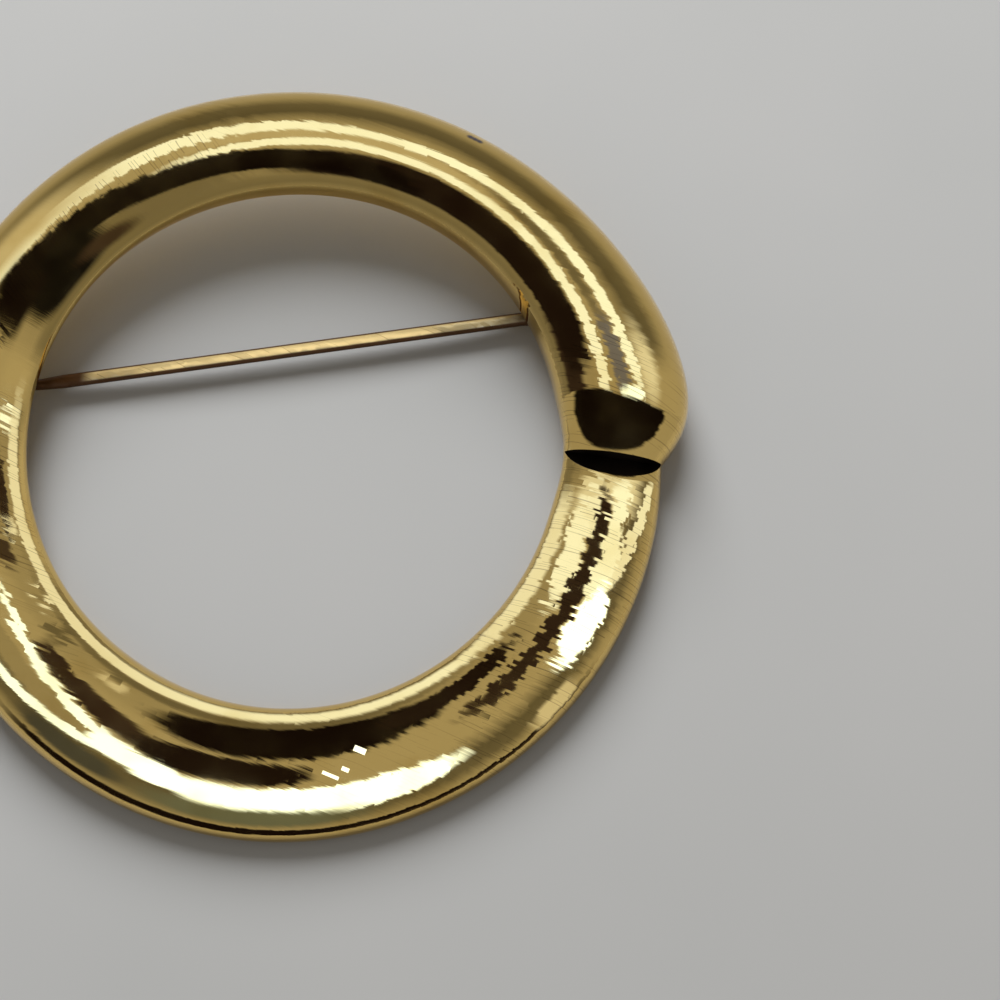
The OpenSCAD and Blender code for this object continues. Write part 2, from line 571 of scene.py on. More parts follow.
@dataclass(frozen=True)
class GiltFinish:
    """Polished gold plate with parallel polishing strokes, as a material.

    Dull clouds lie over the colour, and hair lines run the way of the first strokes.
    """

    name: str
    colour: Triple
    dull_colour: Triple
    roughness: Pair = (0.05, 0.16)
    strokes: tuple[Strokes, ...] = (Strokes(),)
    groove_colour: Triple = (0.12, 0.06, 0.02)
    groove_dark: float = 0.5
    metal: float = 1.0
    glints: tuple[Glint, ...] = ()
    painted_shade: tuple[PaintedShade, ...] = ()
    chips: tuple[Chip, ...] = ()
    sheen: float = 0.1
    dull_scale: float = 260.0
    dull_edges: Pair = (0.48, 0.75)
    dull_most: float = 0.7
    rough_scale: float = 420.0
    rough_edges: Pair = (0.35, 0.7)
    hair_size: Triple = (2.0, 0.11, 1.1)
    hair_depth: float = 0.02
    hair_strength: float = 0.12

    def tint(self, g: Graph, groove: Socket) -> Socket:
        """The plate's colour: duller in soft clouds, dark in grooves and chips, and darkened by
        painted shade.

        Args:
            g: the material's nodes.
            groove: how deep in a groove each place is.

        Returns:
            The colour.
        """
        clouds = g.noise(g.where, self.dull_scale, detail=4.0)
        dull = g.spread(clouds, *self.dull_edges, 0.0, self.dull_most)
        tint = g.blend(dull, self.colour, self.dull_colour)
        tint = g.blend(g.calc("MULTIPLY", groove, self.groove_dark), tint, self.groove_colour)
        for dark in (*self.painted_shade, *self.chips):
            tint = dark.darken(g, tint)
        return tint

    def surface(self, g: Graph) -> Socket:
        """The plate's shader.

        Args:
            g: the material's nodes.

        Returns:
            The shader.
        """
        normal = g.add("NewGeometry").outputs["Normal"]
        groove: object = 0.0
        for strokes in self.strokes:
            normal, deep = strokes.cut(g, normal)
            groove = g.calc("MAXIMUM", groove, deep)
        for glint in self.glints:
            normal = glint.nick(g, normal)
        hair_at = g.laid(g.where, self.strokes[0].turn, [c * MM for c in self.hair_size])
        hair = g.noise(hair_at, 1.0, detail=2.0)
        bump = g.add("Bump", {
            "Height": hair, "Normal": g.vector("NORMALIZE", normal),
            "Strength": self.hair_strength, "Distance": self.hair_depth * MM})
        clouds = g.noise(g.where, self.rough_scale, detail=3.0)
        rough = g.spread(clouds, *self.rough_edges, *self.roughness)
        return g.add("BsdfPrincipled", {
            "Base Color": self.tint(g, groove), "Metallic": self.metal,
            "Roughness": rough, "Normal": bump.outputs[0],
            "Specular IOR Level": self.sheen}).outputs[0]

    def make(self) -> bpy.types.Material:
        """Builds the material."""
        return new_material(self.name, self.surface)


UPPER_LEFT = WornPatch(at=(-14.5, 14.5, 3.0), radius=15.0, amount=1.9)
RING_GILT = GiltFinish(
    name="polished_gilt",
    colour=(0.86, 0.60, 0.19),
    dull_colour=(0.75, 0.49, 0.13),
    roughness=(0.04, 0.11),
    strokes=(
        Strokes(between=(16.15, 30.0), patches=(
            WornPatch(at=(19.5, -9.0, 2.0), radius=16.0, amount=0.6),
            WornPatch(at=(17.5, 9.0, 4.0), radius=8.0, amount=0.3),
            WornPatch(at=(-17.0, -5.0, 3.0), radius=11.0, amount=0.5),
            WornPatch(at=UPPER_LEFT.at, radius=12.0, amount=-1.0))),
        Strokes(turn=-50.0, width=0.25, tilt=(0.035, 0.025), strength=(0.0, 0.0),
                between=(17.8, 19.4), patches=(UPPER_LEFT,)),
    ),
    glints=(
        Glint(at=(4.26, -18.03), tip=(0.10, -0.44)),
        Glint(at=(3.46, -19.12), tip=(0.06, -0.33), size=(0.22, 0.12)),
        Glint(at=(2.62, -19.45), tip=(0.06, -0.33), size=(0.5, 0.1)),
        Glint(at=(-14.52, -9.33), tip=(0.17, 0.11), size=(0.6, 0.12)),
        Glint(at=(-9.92, -14.07), tip=(0.05, 0.075), size=(0.4, 0.2)),
        Glint(at=(11.36, -16.08), tip=(0.17, -0.25), size=(0.3, 0.14)),
    ),
    chips=tuple(Chip(at=(10.72 + 0.9 * d, 18.95 - 0.43 * d, 5.72), radius=0.26)
                for d in (-0.32, 0.0, 0.32)),
)
# Painted shade: the sloping cut face at the notch is coloured near black, standing in for the deep
# shade of the gap under the nose.
NOTCH_PAINTED_SHADE = GiltFinish(
    name="notch_painted_shade",
    colour=(0.035, 0.024, 0.014),
    dull_colour=(0.02, 0.013, 0.008),
    roughness=(0.3, 0.5),
)
STEM_GILT = GiltFinish(
    name="drawn_gilt",
    colour=(0.92, 0.70, 0.32),
    dull_colour=(0.78, 0.55, 0.22),
    roughness=(0.38, 0.5),
    strokes=(Strokes(turn=-26.0, length=1.2, width=0.28, tilt=(0.3, 0.3), strength=(1.0, 1.3)),),
    groove_colour=(0.40, 0.24, 0.09),
    groove_dark=0.45,
    metal=0.4,
    # Painted shade: the stem's two ends under the ring and its lower side are darkened in colour,
    # standing in for the shade of the ring and the table.
    painted_shade=(
        PaintedShade(towards=(-1.0, 0.0, 0.0), dark_below=-14.2, clear_above=-11.0,
                colour=(0.15, 0.095, 0.035)),
        PaintedShade(towards=(1.0, 0.0, 0.0), dark_below=-14.0, clear_above=-12.9),
        PaintedShade(towards=(0.01455, -0.1035, 0.9945), dark_below=0.585, clear_above=0.66),
    ),
)
FITTING_GILT = GiltFinish(
    name="satin_gilt",
    colour=(0.74, 0.55, 0.26),
    dull_colour=(0.56, 0.40, 0.17),
    roughness=(0.22, 0.38),
    strokes=(Strokes(tilt=(0.12, 0.09)),),
)


def coat(piece: Piece, *finishes: GiltFinish) -> None:
    """Gives a piece its materials, one to a slot."""
    for finish in finishes:
        piece.data.materials.append(bpy.data.materials.get(finish.name) or finish.make())


def dress(piece: Piece, name: str) -> None:
    """Names a piece and smooths its shading.

    Args:
        piece: the piece.
        name: its name.
    """
    piece.name = name
    piece.data.name = name
    pick(piece)
    bpy.ops.object.shade_smooth_by_angle(angle=math.radians(SMOOTH_BELOW))
    log.info("%s: %d faces", name, len(piece.data.polygons))


# Ring.


@dataclass(frozen=True)
class Row:
    """One row of the ring's shape table."""

    turn: float
    outer: float
    crest: float


def swell(gap: float, reach: float) -> float:
    """Eases from 1 where there is no gap to 0 where the gap comes to the reach."""
    return 0.0 if gap >= reach else math.cos(gap / reach * math.pi / 2) ** 2


@dataclass
class DomedRing:
    """The domed ring, whose rounded nose meets its lower tail at a notch."""

    hole: float = 16.05
    notch_at: float = -2.5
    notch_lean: float = 5.5
    lean_fade: float = 20.0
    notch_floor: float = 0.7
    nose_round: float = 5.4
    nose_edge: float = 2.3
    tail_slope: float = 1.45
    wedge_from: float = 13.0
    wedge_to: float = 27.0
    wedge_lap: float = 0.012
    wedge_over: float = 0.15
    foot_part: float = 0.08
    foot_crease: float = 0.85
    fullness: float = 2.2
    notch_ease: float = 0.25
    notch_ease_turn: float = 14.0
    under_ease: float = 0.5
    under_at: float = 165.0
    under_turn: float = 80.0
    under_shares: Triple = (0.2, 0.7, 1.0)
    middle: float = 19.3
    dome_rows: int = 27
    rows: int = 32
    even_turns: int = 105
    shape: tuple[Row, ...] = (
        Row(0, 22.3, 4.2), Row(3, 23.1, 4.2), Row(6, 23.75, 4.2), Row(10, 24.1, 4.2),
        Row(16, 24.0, 4.15), Row(24, 23.65, 4.05), Row(34, 23.15, 3.9), Row(50, 22.65, 3.65),
        Row(70, 22.45, 3.45), Row(95, 22.55, 3.3), Row(125, 22.95, 3.2), Row(165, 23.35, 3.1),
        Row(205, 23.5, 2.95), Row(240, 23.65, 2.8), Row(270, 23.75, 2.65), Row(295, 23.5, 2.55),
        Row(318, 23.1, 2.5), Row(338, 22.7, 2.45), Row(352, 22.45, 2.4), Row(360, 22.3, 2.35),
    )
    nose_turns: tuple[float, ...] = (0.0, 0.12, 0.5, 1.2, 2.2, 3.4, 4.8, 6.3, 7.9, 9.6, 11.4, 13.3,
                                     15.3, 17.5)
    tail_turns: tuple[float, ...] = (346.5, 349.0, 351.4, 353.6, 355.4, 356.9, 358.1, 359.0,
                                     359.6, 359.93)

    def turns(self) -> list[float]:
        """Places of the sections round the ring, closest together at the notch.

        Returns:
            Degrees past the notch.
        """
        first, last = self.nose_turns[-1], self.tail_turns[0]
        step = (last - first) / self.even_turns
        between = (first + step * k for k in range(1, self.even_turns))
        return [*self.nose_turns, *between, *self.tail_turns]

    def along(self, turn: float, column: str) -> float:
        """Smooth curve through one column of the shape table.

        Args:
            turn: degrees past the notch.
            column: the column's name.

        Returns:
            The value there.
        """
        k = next(i for i in range(len(self.shape) - 1) if turn <= self.shape[i + 1].turn)

        def slope(i: int) -> float:
            """Slope of the curve at row i."""
            a, b = self.shape[max(i - 1, 0)], self.shape[min(i + 1, len(self.shape) - 1)]
            return (getattr(b, column) - getattr(a, column)) / (b.turn - a.turn)

        p, q = self.shape[k], self.shape[k + 1]
        d = q.turn - p.turn
        s = (turn - p.turn) / d
        return (getattr(p, column) * (1 + 2 * s) * (1 - s) ** 2
                + getattr(q, column) * s * s * (3 - 2 * s)
                + d * slope(k) * s * (1 - s) ** 2 - d * slope(k + 1) * s * s * (1 - s))

    def crest(self, turn: float) -> float:
        """Height of the dome, with the nose rounded down to its lower edge.

        Args:
            turn: degrees past the notch.

        Returns:
            The height there.
        """
        full = self.along(turn, "crest")
        start = (self.nose_edge - self.notch_floor) / (self.shape[0].crest - self.notch_floor)
        skip = 1 - math.sqrt(1 - start * start)
        part = skip + (1 - skip) * math.radians(turn) * self.middle / self.nose_round
        if part >= 1:
            return full
        return self.notch_floor + (full - self.notch_floor) * math.sqrt(1 - (1 - part) ** 2)

    def inner(self, turn: float) -> float:
        """Radius of the hole, which opens a little towards the notch."""
        return self.hole + self.notch_ease * swell(min(turn, 360 - turn), self.notch_ease_turn)

    def lean(self, turn: float) -> float:
        """Clockwise turn of a section about its inner end, which fades away from the notch."""
        return self.notch_lean * swell(min(turn, 360 - turn), self.lean_fade)

    def tuck(self, turn: float) -> float:
        """How far the inner foot is eased back under the dome, most on the left."""
        return self.under_ease * swell(abs(turn - self.under_at), self.under_turn)

    def profile(self) -> list[Pair]:
        """Outline of every section, from the outer foot over the dome.

        Returns:
            Its points, as parts of the section's width and height.
        """
        points = []
        for k in range(self.dome_rows):
            a = math.pi * k / (self.dome_rows - 1)
            c, s = math.cos(a), max(math.sin(a), 0.0)
            power = 2 / self.fullness
            points.append(((1 + math.copysign(abs(c) ** power, c)) / 2,
                           self.foot_part + (1 - self.foot_part) * s ** power))
        below = self.rows - self.dome_rows
        points += [(k / (below - 1), 0.0) for k in range(below)]
        return points

    def cutter(self) -> Piece:
        """The wedge that leaves the tail's end sloping down into the notch.

        Returns:
            The wedge.
        """
        rise = self.along(360, "crest") - self.notch_floor + self.wedge_over
        top = self.notch_floor + 2 * rise
        wedge = block((self.wedge_from, -2 * self.tail_slope, self.notch_floor),
                      (self.wedge_to, self.wedge_lap, top))
        bench = EditBench(wedge)
        low = [v.index for v in wedge.data.vertices
               if v.co.y < -MM and v.co.z < (self.notch_floor + HAIR) * MM]
        bench.take(low)
        bench.move(z=2 * rise)
        bpy.ops.mesh.select_all(action="SELECT")
        bpy.ops.mesh.remove_doubles(threshold=WELD)
        bench.turn(-self.notch_lean, about=(self.inner(0), 0.0))
        bench.turn(self.notch_at)
        bench.close()
        return wedge

    def build(self, lie: Lie) -> None:
        """Shapes the ring and lays it on the table.

        Args:
            lie: how the brooch lies.
        """
        turns = self.turns()
        count = len(turns)
        bpy.ops.mesh.primitive_torus_add(
            major_segments=count, minor_segments=self.rows,
            major_radius=self.middle * MM, minor_radius=MM)
        ring = bpy.context.object
        bench = EditBench(ring)
        for k, (across, up) in enumerate(self.profile()):
            a = 2 * math.pi * k / self.rows
            factor = (self.middle - 1 + 2 * across) / (self.middle + math.cos(a))
            bench.take(range(k, count * self.rows, self.rows))
            bench.scale(factor, factor)
            bench.move(z=up - math.sin(a))
        for k in (self.dome_rows, self.rows - 1):
            bench.take(range(k, count * self.rows, self.rows))
            bench.crease(self.foot_crease)
        for j, turn in enumerate(turns):
            ri, ro = self.inner(turn), self.along(turn, "outer")
            wider = (ro - ri) / 2
            fixed = (ri - wider * (self.middle - 1)) / (1 - wider)
            section = range(j * self.rows, (j + 1) * self.rows)
            bench.take(section)
            bench.turn(-360 * j / count)
            bench.scale(wider, 1.0, self.crest(turn), about=(fixed, 0.0, 0.0))
            if self.tuck(turn) > 0:
                for row, share in enumerate(self.under_shares, self.dome_rows - 2):
                    bench.take([section[row]])
                    bench.move(x=self.tuck(turn) * share)
                bench.take(section)
            bench.turn(-self.lean(turn), about=(ri, 0.0))
            bench.turn(turn + self.notch_at)
        bench.close()
        finish_with(ring, "SUBSURF", levels=2, render_levels=2)
        coat(ring, RING_GILT, NOTCH_PAINTED_SHADE)
        wedge = self.cutter()
        coat(wedge, RING_GILT, NOTCH_PAINTED_SHADE)
        # The cut face takes the notch's painted shade, in the second slot.
        for face in wedge.data.polygons:
            face.material_index = 1
        combine(ring, wedge, Cut.TAKE)
        lie.lay(ring, lie.of_ring())
        dress(ring, "domed_ring")
        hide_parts("ring")
        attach(ring, "brooch")


# Pin and fittings.


@dataclass
class PinStem:
    """The pin: an eye round the rivet, a stouter root, straight wire and a point."""

    hinge_at: float = 18.6
    depth: float = 1.2
    wire: float = 0.42
    root: float = 0.52
    root_length: float = 2.8
    root_ease: float = 1.0
    straight: float = 32.6
    point_length: float = 6.0
    eye: float = 0.72
    eye_thick: float = 1.04
    bore: float = 0.35
    bore_length: float = 3.0
    wire_sides: int = 40
    bevel: float = 0.05
    bevel_over: float = 40.0
    point_steps: tuple[Pair, ...] = (
        (0.25, 0.80), (0.5, 0.58), (0.75, 0.35), (0.92, 0.18), (1.0, 0.07))

    def build(self, lie: Lie) -> None:
        """Shapes the pin and lays it in its hinge and catch.

        Args:
            lie: how the brooch lies.
        """
        near = -self.root_length - self.root_ease
        pin = rod(self.wire, self.straight + near,
                  ((near - self.straight) / 2, 0.0, 0.0), Way.ALONG, self.wire_sides)
        points = [v.co.x / MM for v in pin.data.vertices]
        bench = EditBench(pin)
        bench.take(i for i, x in enumerate(points) if x > near - HAIR)
        for step, wider in ((self.root_ease, self.root / self.wire), (self.root_length, 1.0)):
            bench.extrude(step, wider)
        bench.take(i for i, x in enumerate(points) if x < HAIR - self.straight)
        size, gone = 1.0, 0.0
        for part, radius in self.point_steps:
            bench.extrude((gone - part) * self.point_length, radius / size)
            size, gone = radius, part
        bench.close()
        hinge = (0.0, 0.0, 0.0)
        combine(pin, rod(self.eye, self.eye_thick, hinge, Way.ACROSS), Cut.ADD)
        combine(pin, rod(self.bore, self.bore_length, hinge, Way.ACROSS), Cut.TAKE)
        finish_with(pin, "BEVEL", width=self.bevel * MM, segments=2, limit_method="ANGLE",
                    angle_limit=math.radians(self.bevel_over))
        place = lie.of_fitting(self.hinge_at) @ Matrix.Translation((0, 0, -self.depth * MM))
        lie.lay(pin, place)
        coat(pin, STEM_GILT)
        dress(pin, "pin_wire")
        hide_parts("pin_stem")
        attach(pin, "pin")


@dataclass
class Fittings:
    """Hinge bracket, rivet and catch, on the ring's flat back."""

    nodes: dict[str, Piece]

    def build(self) -> None:
        """Gives the fittings' own finish to the solids of the frame."""
        finish = FITTING_GILT.make()
        for name in ("hinge_bracket", "hinge_rivet", "catch"):
            node = self.nodes[name]
            node.data.materials.clear()
            node.data.materials.append(finish)
            log.info("%s: %d faces", name, len(node.data.polygons))


# Studio.


# Below DIM a glow loses green and blue, and from BLEACH_FROM on it gains them.
DIM = 0.12
BLEACH_FROM = 0.5
DIM_LOSS = (0.0, 0.38, 0.2)
BLEACH_GAIN = (0.0, 0.42, 1.7)


def toned(light: float, tint: Triple = (1.0, 1.0, 1.0)) -> tuple[float, ...]:
    """Colour of a glow: brownish where it is dark, and white enough to bleach gold where bright.

    Args:
        light: how bright it is.
        tint: a colour of its own.

    Returns:
        Red, green and blue.
    """
    dark = max(0.0, 1 - light / DIM)
    bright = min(max(light - BLEACH_FROM, 0.0), 1.0)
    return tuple(light * (1 - loss * dark + gain * bright) * own
                 for loss, gain, own in zip(DIM_LOSS, BLEACH_GAIN, tint))


def glow(g: Graph, colour: Socket) -> Socket:
    """A glow that reaches the metal, and doesn't reach the table by way of the metal."""
    direct = g.calc("LESS_THAN", g.add("LightPath").outputs["Diffuse Depth"], 0.5)
    return g.add("Emission", {"Color": colour, "Strength": direct}).outputs[0]


def glow_only(thing: Piece) -> None:
    """Lets a thing be seen in reflections only."""
    for kind in ("camera", "diffuse", "shadow", "transmission", "volume_scatter"):
        setattr(thing, "visible_" + kind, False)


def drop_points(piece: Piece, unwanted: Callable[[Vector], bool]) -> None:
    """Deletes points of a mesh.

    Args:
        piece: the mesh object.
        unwanted: tells by its place whether a point goes.
    """
    bench = EditBench(piece)
    bench.take(v.index for v in piece.data.vertices if unwanted(v.co))
    bpy.ops.mesh.delete(type="VERT")
    bench.close()


@dataclass(frozen=True)
class Card:
    """One card over the ring, placed by its angle round the ring and its height over the band.

    The angles are in degrees, each as middle and half extent; a height of nought is
    outwards, 90 is overhead and 180 is inwards. The lean is the middle height's gain for
    each degree round the ring.
    """

    turn: Pair
    height: Pair
    light: float
    lean: float = 0.0
    square: float = 5.0
    soft: float = 0.12
    tint: Triple = (1.0, 1.0, 1.0)

    def over(self, g: Graph, back: object, turn: Socket, height: Socket) -> Socket:
        """Lays the card over what glows behind it.

        Args:
            g: the arch's nodes.
            back: what glows behind it.
            turn: angle of each place round the ring.
            height: angle of each place over the band.

        Returns:
            The colour with the card in it.
        """
        ahead = g.calc("SUBTRACT", turn, self.turn[0])
        middle = g.calc("MULTIPLY_ADD", ahead, self.lean, self.height[0])
        above = g.calc("SUBTRACT", height, middle)
        far = g.oval(g.calc("DIVIDE", ahead, self.turn[1]), g.calc("DIVIDE", above, self.height[1]),
                     self.square)
        inside = g.spread(far, 1 + self.soft, 1 - self.soft)
        return g.blend(inside, back, toned(self.light, self.tint))


@dataclass(frozen=True)
class TentSide:
    """Glow of the tent on one side, from its foot upwards, and where along X or Y it fades in."""

    axis: int
    fade: Pair
    stops: Stops


@dataclass(frozen=True)
class Disc:
    """A round of light on the tent: its radius and soft edge in degrees, and its glow."""

    radius: float
    soft: float
    colour: Triple


@dataclass(frozen=True)
class NoseFlag:
    """The part of the arch in front of the nose: a dark oval on a gold ground.

    The flag is a piece of a ball round the nose. On it, down is counted in degrees from
    overhead towards the viewer, and aside from the middle to the right. The oval's halves
    are its extents up, down and sideways. The flag fades out at a slanting top edge and at
    the skirt's edge, which is counted in distances from the oval's middle to its rim.
    """

    radius: float = 4.7
    at: Triple = (20.22, 1.64, 0.7)
    turn: float = -5.0
    back: float = 3.0
    foot: float = -1.2
    oval_down: float = 18.0
    oval_aside: float = -9.5
    oval_halves: Triple = (60.0, 45.0, 56.5)
    oval_edge: Pair = (0.95, 1.06)
    oval_light: float = 0.005
    ground_light: float = 0.38
    top_slant: float = -0.195
    top_edge: Pair = (-0.6, 2.4)
    skirt_edge: Pair = (1.75, 1.5)
    arch_height: float = 1.8

    def surface(self, g: Graph) -> Socket:
        """The flag's glow.

        Args:
            g: the flag's nodes.

        Returns:
            The shader.
        """
        middle = (Vector(self.at) - Vector((0, 0, self.arch_height))) * MM
        x, y, z = g.parts(g.laid(g.where, self.turn, middle=middle))
        down = g.angle(g.calc("MULTIPLY", y, -1.0), z)
        aside = g.angle(x, g.hypotenuse(y, z))
        above, under, sideways = self.oval_halves
        below = g.calc("SUBTRACT", down, self.oval_down)
        longer = g.spread(below, -1.0, 1.0, 1 / above, 1 / under)
        far = g.oval(g.calc("MULTIPLY", below, longer),
                     g.calc("DIVIDE", g.calc("SUBTRACT", aside, self.oval_aside), sideways))
        light = g.blend(g.spread(far, *self.oval_edge), toned(self.oval_light),
                        toned(self.ground_light))
        top = g.spread(g.calc("MULTIPLY_ADD", aside, self.top_slant, down), *self.top_edge)
        shown = g.calc("MULTIPLY", top, g.spread(far, *self.skirt_edge))
        clear = g.add("BsdfTransparent").outputs[0]
        return g.add("MixShader", {0: shown, 1: clear, 2: glow(g, light)}).outputs[0]

    def build(self) -> Piece:
        """Cuts the flag out of a ball.

        Returns:
            The flag, with its place on the arch still in its object.
        """
        bpy.ops.mesh.primitive_uv_sphere_add(segments=64, ring_count=32, radius=self.radius * MM)
        flag = bpy.context.object
        drop_points(flag, lambda co: co.y > self.back * MM or co.z < self.foot * MM)
        flag.matrix_world = (Matrix.Translation((0, 0, -self.arch_height * MM))
                             @ Matrix.Translation(Vector(self.at) * MM)
                             @ Matrix.Rotation(math.radians(self.turn), 4, "Z"))
        flag.data.materials.append(new_material("flag_glow", self.surface))
        return flag


@dataclass
class Studio:
    """Table, light, reflections and camera."""

    eye: Triple = (12.80, -20.41, 86.67)
    facing: Pair = (-0.004, 0.191)
    focal: float = 1460.0
    picture: float = 1000.0
    sensor: float = 36.0
    clip: Pair = (0.002, 20.0)
    table_half: float = 450.0
    table_grain: float = 35.0
    table_roughness: float = 0.85
    table_tones: Stops = ((0.3, (0.70, 0.705, 0.695)), (0.7, (0.73, 0.73, 0.72)))
    key_size: float = 260.0
    key_at: Triple = (-40.0, 310.0, 240.0)
    key_energy: float = 1.34
    key_colour: Triple = (0.985, 1.0, 1.02)
    fill: Triple = (1.0, 0.94, 0.85)
    fill_strength: float = 0.2
    tent_radius: float = 600.0
    tent_near: Stops = (
        (0.0, (0.02, 0.02, 0.02)), (0.10, (0.15, 0.14, 0.12)), (0.33, (0.22, 0.21, 0.18)),
        (0.42, (2.2, 2.2, 2.2)), (0.85, (2.4, 2.4, 2.4)), (0.93, (0.5, 0.5, 0.5)))
    tent_sides: tuple[TentSide, ...] = (
        TentSide(axis=1, fade=(-0.3, 0.3), stops=(
            (0.0, (0.10, 0.09, 0.07)), (0.40, (0.15, 0.14, 0.12)), (0.60, (0.3, 0.29, 0.25)),
            (0.78, (0.65, 0.62, 0.55)), (1.0, (0.7, 0.7, 0.65)))),
        TentSide(axis=0, fade=(0.45, 0.85), stops=(
            (0.0, (0.15, 0.14, 0.12)), (0.10, (0.4, 0.38, 0.33)), (0.3, (1.2, 1.2, 1.1)),
            (0.7, (2.0, 2.0, 2.0)), (0.9, (0.6, 0.6, 0.6)))),
        TentSide(axis=0, fade=(-0.45, -0.85), stops=(
            (0.0, (0.25, 0.24, 0.2)), (0.25, (0.6, 0.58, 0.5)), (0.65, (0.7, 0.68, 0.6)),
            (0.9, (0.6, 0.6, 0.6)))))
    lamp_way: Triple = (-12.8, 20.4, 86.7)
    lamp: tuple[Disc, ...] = (
        Disc(radius=24.0, soft=2.0, colour=(2.4, 2.4, 2.4)),
        Disc(radius=8.0, soft=1.5, colour=(0.22, 0.21, 0.19)))
    arch_middle: float = 19.6
    arch_reach: float = 8.6
    arch_foot: float = -0.48
    flag: NoseFlag = NoseFlag()
    arch_from: float = -60.0
    arch_span: float = 300.0
    arch_base: tuple[Pair, ...] = (
        (-40, 0.55), (-20, 0.45), (5, 0.36), (25, 0.15), (45, 0.12), (58, 0.28), (70, 0.42),
        (110, 0.42), (125, 0.36), (165, 0.34), (178, 0.22), (192, 0.19), (205, 0.27), (240, 0.3))
    # Middle and half extent round the ring, the same over the band, then the light.
    cards: tuple[Card, ...] = (
        Card((20, 15), (163, 20), 0.03, soft=0.3),
        Card((5, 9), (25, 36), 0.42, soft=0.5),
        Card((12, 9.5), (50, 13), 0.85, square=2, soft=0.6),
        Card((45, 41), (73, 6.5), 1.2, lean=0.13),
        Card((114, 40), (67.5, 8.5), 1.15, lean=-0.29),
        Card((58, 58), (105, 7.8), 1.15, lean=-0.1),
        Card((3, 3), (76, 13), 1.6),
        Card((16, 12), (86, 8), 0.2, square=2.5, soft=0.25, tint=(0.9, 1.05, 2.2)),
        Card((43, 16), (87, 6.5), 0.17, square=3, soft=0.4),
        Card((86, 28), (88, 7), 0.55, lean=-0.2, soft=0.3),
        Card((146, 17), (41, 20), 0.62, lean=-0.8, square=3, soft=0.7),
        Card((124, 20), (155, 34), 0.19, square=3, soft=0.4),
        Card((58, 40), (147, 29), 0.012),
        Card((100, 27), (136, 22), 0.005, lean=-0.8),
        Card((136, 17), (98, 22), 0.005, lean=-1.0),
        Card((142, 10), (138, 43), 0.005, square=3, soft=0.22, tint=(1.0, 1.5, 1.6)),
        Card((132, 6), (158, 16), 0.05, lean=-1.2, square=2, soft=0.5),
        Card((151, 7), (97, 30), 0.006, soft=0.3),
        Card((163, 5), (158, 40), 0.45, soft=0.6),
        Card((170.5, 1.8), (158, 22), 1.3, soft=0.3),
        Card((186, 8), (143, 10), 0.03, square=2.5),
        Card((195.5, 3.5), (122, 14), 0.06, square=3, soft=0.3),
        Card((215, 2), (140, 24), 0.15, soft=0.5),
        Card((255, 46), (159, 7), 0.16, soft=0.5),
        Card((212, 44), (177, 12), 0.95, lean=0.1, soft=0.16),
        Card((285, 46), (178, 12), 1.1, lean=-0.1, soft=0.5),
        Card((187, 16), (197, 9), 0.5, soft=0.6),
        Card((334, 22), (176, 20), 1.0, soft=0.3),
        Card((192.5, 0.8), (147, 12), 0.95, soft=0.4),
        Card((206.5, 0.8), (150, 16), 0.95, soft=0.4),
        Card((229.5, 2.5), (138, 9), 0.7, soft=0.4),
        Card((217, 16), (66, 11), 0.33, square=2),
        Card((224, 14), (47, 6.5), 1.5, lean=0.75),
        Card((222, 19), (83, 5.5), 1.5, lean=-0.75),
        Card((242, 8), (64, 12), 1.8),
        Card((275, 23.5), (51, 20.5), 2.2, square=2.6),
        Card((252, 9), (58, 12), 2.0),
        Card((229, 14), (97, 11.5), 0.035, lean=-0.65),
        Card((256, 16), (87, 13.5), 0.012, square=2.4),
        Card((270, 30), (128, 25), 0.007, square=2.6),
        Card((303, 17), (131, 13), 0.014, square=3),
        Card((264, 17), (27, 14), 0.17, square=3, soft=0.4, tint=(0.85, 1.1, 1.4)),
        Card((233, 9), (29, 14), 0.08, square=3, soft=0.3, tint=(0.85, 1.15, 1.6)),
        Card((272, 50), (-4, 8), 0.008, lean=-0.1),
        Card((297, 18), (-20, 12), 0.08, soft=0.5),
        Card((272, 58), (-24, 9), 0.17, soft=0.3),
        Card((355, 5), (95, 55), 0.85, soft=0.3),
        Card((316, 4.5), (10, 18), 0.7, soft=0.3),
        Card((346, 10), (33, 13), 1.05, lean=-2.6),
        Card((344, 12), (70, 16), 1.2, square=4),
        Card((329, 8), (58, 25), 2.5, square=2),
        Card((349, 2.5), (57, 3), 0.3, soft=0.4),
        Card((351, 5), (113, 11), 1.1),
        Card((342, 12), (126, 18), 1.15, lean=0.7, square=2.5),
        Card((329, 26.5), (95.5, 10), 0.03, square=3),
    )

    def table_surface(self, g: Graph) -> Socket:
        """The table's pale, dull shader."""
        tint = g.ramp(g.noise(g.where, self.table_grain, detail=3.0), self.table_tones)
        return g.add("BsdfPrincipled", {"Base Color": tint, "Roughness": self.table_roughness,
                                        "Specular IOR Level": 0.0}).outputs[0]

    def table(self) -> None:
        """The pale table top."""
        bpy.ops.mesh.primitive_plane_add(size=2 * self.table_half * MM)
        top = bpy.context.object
        top.name = "table_top"
        top.data.materials.append(new_material("pale_table", self.table_surface))

